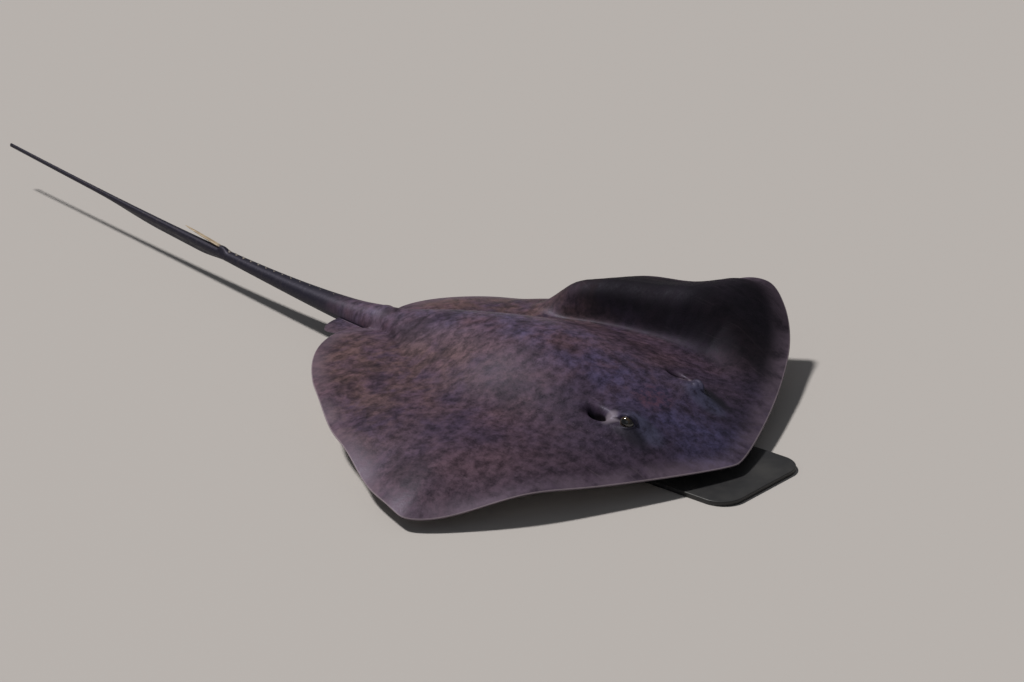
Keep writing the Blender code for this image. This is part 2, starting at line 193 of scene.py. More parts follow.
def spiracle_relief(x, y):
    """Finer spiracle: a raised lip at one radius of a slanted oval, and a throat that drops inside it."""
    side = (np.abs(x) - SPIRACLE_SIDE) / 0.0122
    back = (y - SPIRACLE_BACK) / 0.0235
    out = np.hypot(side + 0.25 * back, back)
    return LIP_HEIGHT * mound(out, 1.15, 0.22) - THROAT_DEPTH * (1 - ease(0.55, 1.00, out))


def sting_sleeve(x, y):
    """Fold of skin over the root of the sting: it rises by smooth steps and falls off as exp(-x^4)."""
    long = ease(1.474, 1.501, y) * (1 - ease(1.509, 1.5155, y))
    return SLEEVE_HEIGHT * long * mound(x, 0, SLEEVE_HALF, 4)


def wing_rays(x, y, d):
    """Faint ridges over the fin rays: a sine of the bearing from the shoulder, faded at rim and middle."""
    bearing = np.arctan2(y - 0.42, np.abs(x) + 0.02)
    reach = np.hypot(x, y - 0.42)
    strength = ease(0.16, 0.34, reach) * ease(0.0, 0.05, d) * (1 - ease(0.86, 0.95, y))
    return RAY_HEIGHT * np.sin(bearing * RAYS_PER_RADIAN) * strength


def soft_swells(x, y, d):
    """Muscle under the skin: three slow crossed sines, at most a millimetre high, faded at the rim."""
    swell = np.sin(23 * x + 9 * y) * np.sin(17 * y - 5 * x + 1.3) + 0.6 * np.sin(41 * x * y + 31 * y)
    return SWELL_HEIGHT * swell * ease(0.0, 0.06, d) * (1 - ease(0.90, 1.0, y))


def spread_hump(x, y, d, crown):
    """Hump with a softer foot at the root of the tail: the mean of five humps a millimetre or so apart."""
    reach = 0.0016 * ease(0.72, 0.86, y) * (1 - ease(0.948, ROOT_BACK, y))
    return sum(hump(np.abs(x) + k * reach, y, d, crown) for k in (-2, -1, 0, 1, 2)) / 5


def top_height(x, y):
    """Height of the back above the middle surface: blade, hump and head relief together."""
    d = rim_distance(x, y)
    root = TAIL_ROUND * ROOT_HALF
    crown = HUMP_TOP * ease(-0.03, 0.52, y) - (HUMP_TOP - root) * ease(0.50, ROOT_BACK, y)
    crown = np.where(y < ROOT_BACK, crown, TAIL_ROUND * tail_half(y))
    return blade(d, y, WING_TOP) + spread_hump(x, y, d, crown) + head_relief(x, y)


# Underside: a transverse mouth, a nasal curtain before it, five gill slits on each side and the vent.
MOUTH_BACK = 0.205
MOUTH_HALF = 0.048
MOUTH_BOW = 0.010
NOSTRIL_SIDE = 0.043
NOSTRIL_BACK = 0.172
GILLS = 5
GILL_FRONT = 0.300
GILL_STEP = 0.030
GILL_SIDE = 0.125
GILL_CLOSE = 0.0085
GILL_HALF = 0.014
GILL_SLANT = 0.35
VENT_BACK = 0.900


def belly_relief(x, y):
    """Hollows and lips of the underside: Gaussian grooves along short curves, deeper in their middle."""
    side = np.abs(x)
    out = side / MOUTH_HALF
    bow = MOUTH_BACK + MOUTH_BOW * out**2
    mouth = 0.0060 * mound(y, bow, 0.0042) * (1 - ease(0.85, 1.10, out))
    lips = 0.0028 * mound(np.abs(y - bow), 0.0090, 0.0050) * (1 - ease(0.8, 1.2, out))
    hem = 0.188 + 0.004 * np.cos(side * 260.0)
    curtain = 0.0022 * ease(hem - 0.026, hem - 0.003, y) * (1 - ease(hem - 0.002, hem + 0.002, y))
    curtain = curtain * (1 - ease(0.034, 0.042, side))
    slant = y - NOSTRIL_BACK - 0.35 * (side - NOSTRIL_SIDE)
    nostril = 0.0060 * np.exp(-((slant / 0.0070) ** 2) - ((side - NOSTRIL_SIDE) / 0.0085) ** 2)
    gills = np.zeros(np.shape(x))
    for k in range(GILLS):
        middle = GILL_SIDE - GILL_CLOSE * k
        line = GILL_FRONT + GILL_STEP * k + GILL_SLANT * (side - middle)
        near = mound(side, middle, GILL_HALF - 0.0010 * k, 4)
        slit = 0.0050 * mound(y, line, 0.0033) * near
        flap = 0.0018 * np.exp(-(((y - line + 0.0070) / 0.0055) ** 2)) * near
        gills = gills + slit - flap
    vent = 0.0050 * np.exp(-((x / 0.0045) ** 2) - ((y - VENT_BACK) / 0.0130) ** 2)
    return lips + curtain - mouth - nostril - gills - vent


def bottom_height(x, y):
    """Depth of the belly below the middle surface: blade, hump and the fold of skin under the tail."""
    d = rim_distance(x, y)
    crown = HUMP_BOTTOM * ease(0.02, 0.36, y)
    crown = np.where(y < ROOT_BACK, crown, HUMP_BOTTOM / ROOT_HALF * tail_half(y))
    fold = TAIL_FOLD_DEPTH * ease(1.45, 1.60, y) * (1 - ease(1.75, 2.05, y))
    return blade(d, y, WING_BOTTOM) + spread_hump(x, y, d, crown) + fold * mound(x, 0, TAIL_FOLD_HALF)


# Pose: slopes of the wings and yaw of the tail in degrees, heights above the floor in metres.
BODY_HEIGHT = 0.076
SNOUT_DROP = 0.045
SNOUT_REACH = 0.55
FOLD_LINE = 0.29
WAVE_SLOPE = 73.0
WAVE_FALL = 0.292
WAVE_TURN = 0.14
WAVE_FLARE = 8.0
CREST_FRONT = 0.17
CREST_GROW = 0.24
CREST_REAR = 0.62
CREST_SHED = 0.145
LEFT_REAR_DROOP = 10.5
RIGHT_DROOP = 17.5
RIM_RIPPLE = 0.006
RIPPLE_LENGTH = 0.20
RIPPLE_BACK = 0.27
TAIL_YAW = 9.1
TAIL_BEND = 0.20
TAIL_RISE = 0.032
STAND_BACK = 0.40
GAUSS_AT, GAUSS_WEIGHT = np.polynomial.legendre.leggauss(24)


def wing_slope(x, y):
    """Slope across the body in radians: left, a steep wall that flares out again; right, a droop."""
    out = np.abs(x)
    edge = rim_half(y)
    fold = np.minimum(FOLD_LINE, 0.5 * edge)
    t = (out - fold) / np.maximum(edge - fold, 0.02)
    flare = WAVE_SLOPE + WAVE_FLARE * ease(0.25, 0.55, y)
    wave = WAVE_SLOPE * ease(-0.12, 0.18, t) - flare * ease(WAVE_FALL, WAVE_FALL + WAVE_TURN, t)
    grown = ease(CREST_FRONT, CREST_FRONT + CREST_GROW, y)
    crest = grown * (1 - ease(CREST_REAR, CREST_REAR + CREST_SHED, y))
    rear = LEFT_REAR_DROOP * ease(0.12, 0.45, out) * ease(0.60, 0.80, y)
    left = wave * crest - rear
    right = -RIGHT_DROOP * ease(0.28, 0.62, out)
    return np.radians(np.where(x > 0, left, right))


def rim_share(x, y):
    """Share of the way out to the rim, faded out along the front and the rear of the disc."""
    share = np.abs(x) / np.maximum(rim_half(y), 0.02)
    return np.clip(share, 0, 1) * ease(0.02, 0.20, y) * (1 - ease(0.80, 0.93, y))


def middle_height(y):
    """Height of the middle surface on the axis: the snout dips, and the tail rises to its end."""
    dip = np.clip(1 - y / SNOUT_REACH, 0, 1) ** 2
    rise = np.clip((y - ROOT_BACK) / (TAIL_END_BACK - ROOT_BACK), 0, 1) ** 1.6
    return BODY_HEIGHT - SNOUT_DROP * dip + TAIL_RISE * rise


def posed(x, y, height):
    """Place of a flat point: the slope is integrated outwards, and height goes along the normal."""
    x, y, height = np.broadcast_arrays(np.asarray(x, dtype=float), y, height)
    steps = x[..., None] * (GAUSS_AT + 1) / 2
    slope = wing_slope(steps, np.broadcast_to(y[..., None], steps.shape))
    across = x * (np.cos(slope) * GAUSS_WEIGHT).sum(-1) / 2
    rise = np.abs(x) * (np.sin(slope) * GAUSS_WEIGHT).sum(-1) / 2
    here = wing_slope(x, y)
    across = across - np.sign(x) * np.sin(here) * height
    turn = 2 * math.pi * (y - RIPPLE_BACK) / RIPPLE_LENGTH
    ripple = -RIM_RIPPLE * np.cos(turn) * rim_share(x, y) ** 3
    up = middle_height(y) + rise + ripple + np.cos(here) * height
    behind = np.maximum(y - ROOT_BACK, 0)
    sway = math.tan(math.radians(TAIL_YAW)) * (behind - TAIL_BEND * (1 - np.exp(-behind / TAIL_BEND)))
    return np.stack([across + sway, y - STAND_BACK, up], axis=-1)


# Lids: the skin is drawn over each eyeball and parts in a long oval that looks out, up and a bit ahead.
LID_THICK = 0.0013
LID_LONG = 0.95
LID_HIGH = 0.60
LID_SOFT = 0.0022
LID_TUCK = 0.0040


def eye_place(side):
    """Middle and radius of an eyeball, from its solid; side is 1 for left, -1 for right."""
    low, high = np.array(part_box("eye_left" if side > 0 else "eye_right"))
    return (low + high) / 2, (high[2] - low[2]) / 2


def eye_axes(side):
    """Unit directions of an eye: where it looks, along the body, and across both."""
    look = np.array([side * 0.84, -0.14, 0.52])
    look = look / np.linalg.norm(look)
    along = np.array([0.0, 1.0, 0.0]) - look[1] * look
    along = along / np.linalg.norm(along)
    return look, along, np.cross(look, along) * side


def draw_lids(points):
    """Skin pushed out to the ball's radius plus the lid, by a soft maximum, and tucked in at the oval."""
    for side in (1, -1):
        centre, radius = eye_place(side)
        look, along, over = eye_axes(side)
        near = np.flatnonzero(np.linalg.norm(points - centre, axis=1) < 3.2 * radius)
        away = points[near] - centre
        reach = np.linalg.norm(away, axis=1)
        way = away / reach[:, None]
        oval = np.hypot(way @ along / LID_LONG, way @ over / LID_HIGH)
        oval = np.where(way @ look > 0, oval, 3.0)
        upper = ease(-0.25, 0.45, way @ over)
        edge = (0.0010 + 0.0018 * upper) * mound(oval, 1.13, 0.14)
        crease = 0.0010 * mound(oval, 1.46, 0.07)
        folds = 0.0004 * np.cos((oval - 1.46) * 30.0) * ease(1.55, 1.75, oval) * (1 - ease(2.1, 2.6, oval))
        cover = radius + LID_THICK + edge - crease + folds
        drawn = LID_SOFT * np.logaddexp(reach / LID_SOFT, cover / LID_SOFT)
        tucked = radius - LID_TUCK
        drawn = tucked + (drawn - tucked) * ease(0.94, 1.03, oval)
        points[near] = centre + way * drawn[:, None]
    return points


# Mesh of the skin: rows run along the outline, columns are shares of the way out to the rim.
DISC_ROWS = 250
TOP_SHARES = 115
LOW_SHARES = 44
TAIL_ROWS = 180
RING_SHARES = 25
LOBE_MIDDLE = 0.930


def graded(low, high, count, crowd):
    """Values from low to high, packed in proportion to the crowding function."""
    fine = np.linspace(low, high, 4000)
    share = np.concatenate([[0], np.cumsum(crowd(fine[:-1]))])
    return np.interp(np.linspace(0, 1, count), share / share[-1], fine)


def disc_rows(count):
    """Rows of the disc: points at graded lengths along the outline, each with its place on the axis."""
    t = np.linspace(0, 1, 1500)
    front, rear, inner = (bezier(margin, t) for margin in MARGINS)
    lag = bezier(((TIP_BACK,), (TIP_BACK + TRAILING_ROUND,), (0.895,), (LOBE_MIDDLE,)), t)[1:, 0]
    rim = np.concatenate([front, rear[1:], inner[1:]])
    middle = np.concatenate([front[:, 1], lag, np.linspace(LOBE_MIDDLE, ROOT_BACK, 1500)[1:]])
    length = np.concatenate([[0], np.cumsum(np.linalg.norm(np.diff(rim, axis=0), axis=1))])
    end = length[-1]

    def crowd(at):
        back = np.interp(at, length, middle)
        head = 1.6 * mound(back, EYE_BACK, 0.035, 4) + 1.2 * mound(back, SPIRACLE_BACK, 0.034, 4)
        gills = 1.2 * mound(back, GILL_FRONT + 2 * GILL_STEP, 0.078, 4)
        snout = 5.0 * np.exp(-at / 0.010)
        root = 3.0 * ease(end - 0.13, end - 0.04, at) + 22.0 * ease(end - 0.006, end, at)
        return 1 + head + gills + snout + root

    at = graded(0, end, count, crowd)
    outer = np.stack([np.interp(at, length, rim[:, 0]), np.interp(at, length, rim[:, 1])], axis=1)
    return outer, np.interp(at, length, middle)


def disc_shares(count, crowd):
    """Shares from -1 to 1 across the disc, with a few extra ones to round the rim."""
    inner = graded(0, 0.985, count, crowd)
    rim = 1 - np.array([0.0100, 0.0060, 0.0035, 0.0018, 0.0008, 0.0])
    half = np.concatenate([inner, rim])
    return np.concatenate([-half[:0:-1], half])


def gather(x, y, side, back, reach, pull):
    """Grid drawn in round a place on both sides, by the share pull * exp(-(distance / reach)^2)."""
    off_x = np.abs(x) - side
    off_y = y - back
    share = 1 - pull * np.exp(-(off_x**2 + off_y**2) / reach**2)
    return np.sign(x) * (side + off_x * share), back + off_y * share


def zip_rows(a, a_at, b, b_at):
    """Triangles between two rows of unlike length: each edge takes the nearest point of the other row."""
    near = np.abs(b_at[None, :] - ((a_at[1:] + a_at[:-1]) / 2)[:, None]).argmin(axis=1)
    from_a = np.stack([a[:-1], a[1:], b[near]], axis=1)
    apex = np.searchsorted(near, np.arange(len(b) - 1), side="right")
    from_b = np.stack([b[1:], b[:-1], a[apex]], axis=1)
    return np.concatenate([from_a, from_b])


def quads(index):
    """Quads of a grid of vertex numbers: they face up where rows run back and columns to the left."""
    corners = [index[:-1, :-1], index[:-1, 1:], index[1:, 1:], index[1:, :-1]]
    return np.stack(corners, axis=-1).reshape(-1, 4)


def make_piece(name, points, faces, material, **marks):
    """Smooth mesh object from points and arrays of faces, less unused points; marks become attributes."""
    corners = np.concatenate([face.ravel() for face in faces])
    sizes = np.concatenate([np.full(len(face), face.shape[1]) for face in faces])
    starts = np.concatenate([[0], np.cumsum(sizes)[:-1]]).astype(np.int32)
    used = np.zeros(len(points), dtype=bool)
    used[corners] = True
    number = np.cumsum(used) - 1
    mesh = bpy.data.meshes.new(name)
    mesh.vertices.add(used.sum())
    mesh.vertices.foreach_set("co", points[used].astype(np.float32).ravel())
    mesh.loops.add(len(corners))
    mesh.loops.foreach_set("vertex_index", number[corners].astype(np.int32))
    mesh.polygons.add(len(sizes))
    mesh.polygons.foreach_set("loop_start", starts)
    mesh.update(calc_edges=True)
    mesh.shade_smooth()
    mesh.materials.append(material)
    for word, mark in marks.items():
        kind, field = ("FLOAT", "value") if mark.ndim == 1 else ("FLOAT_VECTOR", "vector")
        data = mesh.attributes.new(word, kind, "POINT").data
        data.foreach_set(field, mark[used].astype(np.float32).ravel())
    piece = bpy.data.objects.new(name, mesh)
    bpy.context.collection.objects.link(piece)
    return piece


# Two marks on the skin are read by its pattern: flat is the place on the flat animal, with 0 above or 1
# below as its third number, and rim is the distance to the rim.
def build_skin(material):
    """Skin: two grids over the disc that share their rim, zipped to the rings of the tail."""
    outer, middle = disc_rows(DISC_ROWS)
    top_at = disc_shares(TOP_SHARES, lambda c: 1 + 2.2 * mound(c, 0.28, 0.09, 4))
    low_at = disc_shares(LOW_SHARES, lambda c: 1 + 1.6 * mound(c, 0.0, 0.34, 4))
    grids = []
    for at in (top_at, low_at):
        x = outer[:, 0:1] * at
        flank = ROOT_HALF / np.maximum(outer[:, 0], 1.001 * ROOT_HALF) * ease(0.85, 0.93, middle)
        beyond = np.maximum(np.abs(at) - flank[:, None], 0) / (1 - flank[:, None])
        y = middle[:, None] + (outer[:, 1] - middle)[:, None] * beyond**4
        grids.append((x, y))
    x, y = gather(*grids[0], EYE_SIDE, EYE_BACK, 0.050, 0.45)
    x, y = gather(x, y, SPIRACLE_SIDE, SPIRACLE_BACK, 0.040, 0.30)
    disc_top = np.stack([x, y], axis=-1)
    disc_low = np.stack(grids[1], axis=-1)

    tail_back = graded(
        ROOT_BACK + 0.004,
        TAIL_END_BACK - 0.002,
        TAIL_ROWS,
        lambda y: 1 + 1.5 * np.exp(-(y - ROOT_BACK) / 0.05) + 7.0 * mound(y, 1.500, 0.024, 4),
    )
    ring_at = np.sin(np.linspace(-1, 1, RING_SHARES) * math.pi / 2)
    x = tail_half(tail_back)[:, None] * ring_at
    tail = np.stack([x, np.repeat(tail_back[:, None], len(ring_at), axis=1)], axis=-1)

    sheets = (disc_top, disc_low, tail, tail)
    sizes = [sheet[..., 0].size for sheet in sheets]
    *firsts, tip = np.cumsum([0, *sizes])
    flat = np.concatenate([*(sheet.reshape(-1, 2) for sheet in sheets), [[0.0, TAIL_END_BACK]]])
    below = np.repeat([0, 1, 0, 1, 0], [*sizes, 1])
    disc_up, disc_down, tail_up, tail_down = (
        first + np.arange(size).reshape(sheet.shape[:2]) for first, size, sheet in zip(firsts, sizes, sheets)
    )
    for upper, lower in ((disc_up, disc_down), (tail_up, tail_down)):
        lower[:, 0] = upper[:, 0]
        lower[:, -1] = upper[:, -1]
    snout = disc_up[0, 0]

    x, y = flat[:, 0], flat[:, 1]
    d = rim_distance(x, y)
    back = top_height(x, y) + spiracle_relief(x, y) + wing_rays(x, y, d) + soft_swells(x, y, d)
    back = back + sting_sleeve(x, y)
    belly = bottom_height(x, y) + belly_relief(x, y)
    height = np.where(below > 0, -belly, back)
    height[[snout, tip]] = 0.0
    points = draw_lids(posed(x, y, height))

    end = np.concatenate([tail_up[-1], tail_down[-1, -2:0:-1]])
    top_first, low_first = disc_up[1], disc_down[1]
    faces = [
        quads(disc_up[1:]),
        quads(disc_down[1:])[:, ::-1],
        quads(tail_up),
        quads(tail_down)[:, ::-1],
        np.stack([np.full(len(top_first) - 1, snout), top_first[1:], top_first[:-1]], axis=1),
        np.stack([np.full(len(low_first) - 1, snout), low_first[:-1], low_first[1:]], axis=1),
        zip_rows(disc_up[-1], top_at, tail_up[0], ring_at),
        zip_rows(disc_down[-1], low_at, tail_down[0], ring_at)[:, ::-1],
        np.stack([end, np.roll(end, -1), np.full(len(end), tip)], axis=1),
    ]
    return make_piece("skin", points, faces, material, flat=np.column_stack([flat, below]), rim=d)


# Pelvic fins: paddles with a round rear corner just behind the rear lobes, grown into the tail's flanks.
FIN_FRONT = 0.962
FIN_REAR = 1.055
FIN_SIDE = 0.106
FIN_DEPTH = 0.0075
FIN_THICK = 0.0060
FIN_SEAT = 0.012
FIN_RAY_HEIGHT = 0.00025
FIN_ROWS = 45
FIN_SHARES = 25


def build_fin(side, material):
    """One fin: half thickness t * sqrt(1 - share^2), nothing at all four edges, round at its rear corner."""
    t = np.linspace(0, 1, FIN_ROWS)
    share = np.sin(np.linspace(0, 1, FIN_SHARES) * math.pi / 2)
    back = FIN_FRONT + (FIN_REAR - FIN_FRONT) * t
    reach = (FIN_SIDE - ROOT_HALF) * (1 - (1 - np.minimum(t / 0.75, 1)) ** 2) ** 0.6
    reach = reach * np.sqrt(np.maximum(1 - (np.maximum(t - 0.60, 0) / 0.41) ** 2, 0))
    reach = np.maximum(reach, 0.002)[:, None]
    half = FIN_THICK / 2 * np.sqrt(1 - share**2) * (0.35 + 0.65 * (1 - share) + 0.5 * np.exp(-share / 0.10))
    half = half * (ease(0.0, 0.05, t) * (1 - ease(0.93, 1.0, t)))[:, None]
    half[:, 0] = 0.0
    wave = np.sin(np.linspace(0, 46, FIN_ROWS))[:, None]
    rays = FIN_RAY_HEIGHT * wave * share * (1 - share**8) * (half > 0)
    x = side * (tail_half(back)[:, None] - FIN_SEAT + (reach + FIN_SEAT) * share)
    y = np.repeat(back[:, None], len(share), axis=1)
    grids = [posed(x, y, -FIN_DEPTH + half + rays), posed(x, y, -FIN_DEPTH - half)]
    up = np.arange(x.size).reshape(x.shape)
    down = up + x.size
    for edge in (np.s_[0], np.s_[-1], np.s_[:, 0], np.s_[:, -1]):
        down[edge] = up[edge]
    turn = slice(None, None, side)
    faces = [quads(up)[:, turn], quads(down)[:, ::-1][:, turn]]
    points = np.concatenate([grid.reshape(-1, 3) for grid in grids])
    flat = np.column_stack([np.tile(x.ravel(), 2), np.tile(y.ravel(), 2), np.repeat([0, 1], x.size)])
    d = np.tile(((1 - share) * reach).ravel() + 0.018, 2)
    return make_piece("pelvic_fin", points, faces, material, flat=flat, rim=d)


def read_skin(piece):
    """Points of a marked piece, with their flat places and rim distances side by side."""
    mesh = piece.data
    points = np.empty(3 * len(mesh.vertices), dtype=np.float32)
    flat = np.empty(3 * len(mesh.vertices), dtype=np.float32)
    rim = np.empty(len(mesh.vertices), dtype=np.float32)
    mesh.vertices.foreach_get("co", points)
    mesh.attributes["flat"].data.foreach_get("vector", flat)
    mesh.attributes["rim"].data.foreach_get("value", rim)
    return points.reshape(-1, 3), np.column_stack([flat.reshape(-1, 3), rim])


def grow_into(body, parts):
    """Union of parts with the body; points take the marks of the nearest old one, seams an upper one's."""
    old = [read_skin(piece) for piece in (body, *parts)]
    marks = np.concatenate([mark for _, mark in old])
    nearest = KDTree(len(marks))
    for number, point in enumerate(np.concatenate([points for points, _ in old])):
        nearest.insert(point, number)
    nearest.balance()
    for part in parts:
        union = body.modifiers.new("grown_in", "BOOLEAN")
        union.operation = "UNION"
        union.solver = "EXACT"
        union.object = part
    graph = bpy.context.evaluated_depsgraph_get()
    mesh = bpy.data.meshes.new_from_object(body.evaluated_get(graph))
    body.modifiers.clear()
    body.data = mesh
    for part in parts:
        bpy.data.objects.remove(part, do_unlink=True)
    found = np.empty((len(mesh.vertices), 4), dtype=np.float32)
    for number, vertex in enumerate(mesh.vertices):
        _, first, off = nearest.find(vertex.co)
        found[number] = marks[first]
        if off > 1e-6:
            others = [marks[old_number] for _, old_number, _ in nearest.find_n(vertex.co, 8)]
            found[number] = min(others, key=lambda mark: mark[2])
    mesh.attributes["flat"].data.foreach_set("vector", found[:, :3].ravel())
    mesh.attributes["rim"].data.foreach_set("value", found[:, 3].ravel())


# Finish of the hide. Its colours, then the steps of a pattern: each takes numbers or outputs of nodes.
SLATE = (0.046, 0.030, 0.056)
PLUM = (0.100, 0.056, 0.070)
BROWN = (0.104, 0.060, 0.056)
PAINTED_FRONT_SHADE = (0.019, 0.015, 0.029)
PAINTED_MIDLINE_SHEEN = (0.062, 0.058, 0.135)
PAINTED_BROW_SHEEN = (0.070, 0.078, 0.135)
RUST = (0.072, 0.022, 0.022)
SCRATCHED = (0.190, 0.150, 0.175)
RIM_BAND = (0.150, 0.112, 0.150)
RIM_EDGE = (0.36, 0.30, 0.33)
BRIDGE_PALE = (0.185, 0.155, 0.190)
PAINTED_BROW_SHADOW = (0.008, 0.008, 0.012)
PAINTED_SPIRACLE_SHADE = (0.006, 0.004, 0.006)
PORE_PALE = (0.20, 0.17, 0.19)
WHIP_DARK = (0.016, 0.015, 0.024)
WHIP_SCUFF = (0.070, 0.056, 0.062)
BELLY_WHITE = (0.74, 0.72, 0.69)
BELLY_STAIN = (0.56, 0.50, 0.50)
BELLY_GRAIN = (0.60, 0.55, 0.54)
BELLY_RIM = (0.085, 0.070, 0.085)
HOLLOW_RED = (0.150, 0.070, 0.072)


def new_finish(name):
    """New material with its node tree and its shader."""
    material = bpy.data.materials.new(name)
    material.use_nodes = True
    return material, material.node_tree, material.node_tree.nodes["Principled BSDF"]


def add(kind, sockets, tree=None, **settings):
    """One shader node; sockets gives each input a value or a node's output, which tells the tree."""
    if tree is None:
        tree = next(value.id_data for value in sockets.values() if isinstance(value, NodeSocket))
    made = tree.nodes.new("ShaderNode" + kind)
    for key, value in settings.items():
        setattr(made, key, value)
    for key, value in sockets.items():
        if isinstance(value, NodeSocket):
            tree.links.new(value, made.inputs[key])
        else:
            made.inputs[key].default_value = value
    return made


def read_mark(tree, name, output):
    """What a mark of the mesh says at each point."""
    return add("Attribute", {}, tree, attribute_name=name).outputs[output]


def work(operation, a, b=0.0):
    """Result of one sum on two values, of which at least one is a node's output."""
    return add("Math", {0: a, 1: b}, operation=operation).outputs[0]


plus = partial(work, "ADD")
minus = partial(work, "SUBTRACT")
times = partial(work, "MULTIPLY")


def rise(value, low, high, start=0.0, end=1.0):
    """Smooth rise from start to end as the value goes from low to high."""
    sockets = {"Value": value, "From Min": low, "From Max": high, "To Min": start, "To Max": end}
    return add("MapRange", sockets, interpolation_type="SMOOTHSTEP").outputs["Result"]


def mottle(place, scale, detail=4.0, rough=0.55, twist=0.0):
    """Noise over a place, from 0 to 1."""
    sockets = {"Vector": place, "Scale": scale, "Detail": detail, "Roughness": rough, "Distortion": twist}
    return add("TexNoise", sockets).outputs["Fac"]


def tint(share, under, over, mode="MIX"):
    """One colour laid over another by a share, at least one of the three a node's output."""
    under, over = (c if isinstance(c, NodeSocket) else (*c, 1.0) for c in (under, over))
    return add("Mix", {0: share, 6: under, 7: over}, data_type="RGBA", blend_type=mode).outputs[2]


def coated(colour, *coats):
    """Colour under a number of coats, each given by its share and its own colour."""
    for share, over in coats:
        colour = tint(share, colour, over)
    return colour


def near_place(x, y, side, back, wide, long):
    """Falls from 1 at a place on either side of the body to 0 at an oval round it."""
    off_x = work("DIVIDE", minus(x, side), wide)
    off_y = work("DIVIDE", minus(y, back), long)
    squared = plus(work("POWER", off_x, 2.0), work("POWER", off_y, 2.0))
    return rise(squared, 0.0, 1.0, 1.0, 0.0)


def join(shader, colour, rough, relief=None, strength=0.0, depth=0.0):
    """Colour and roughness joined to a shader, and a relief as a bump of some strength and depth."""
    tree = shader.id_data
    tree.links.new(colour, shader.inputs["Base Color"])
    tree.links.new(rough, shader.inputs["Roughness"])
    if relief is not None:
        bump = add("Bump", {"Height": relief, "Strength": strength, "Distance": depth})
        tree.links.new(bump.outputs[0], shader.inputs["Normal"])


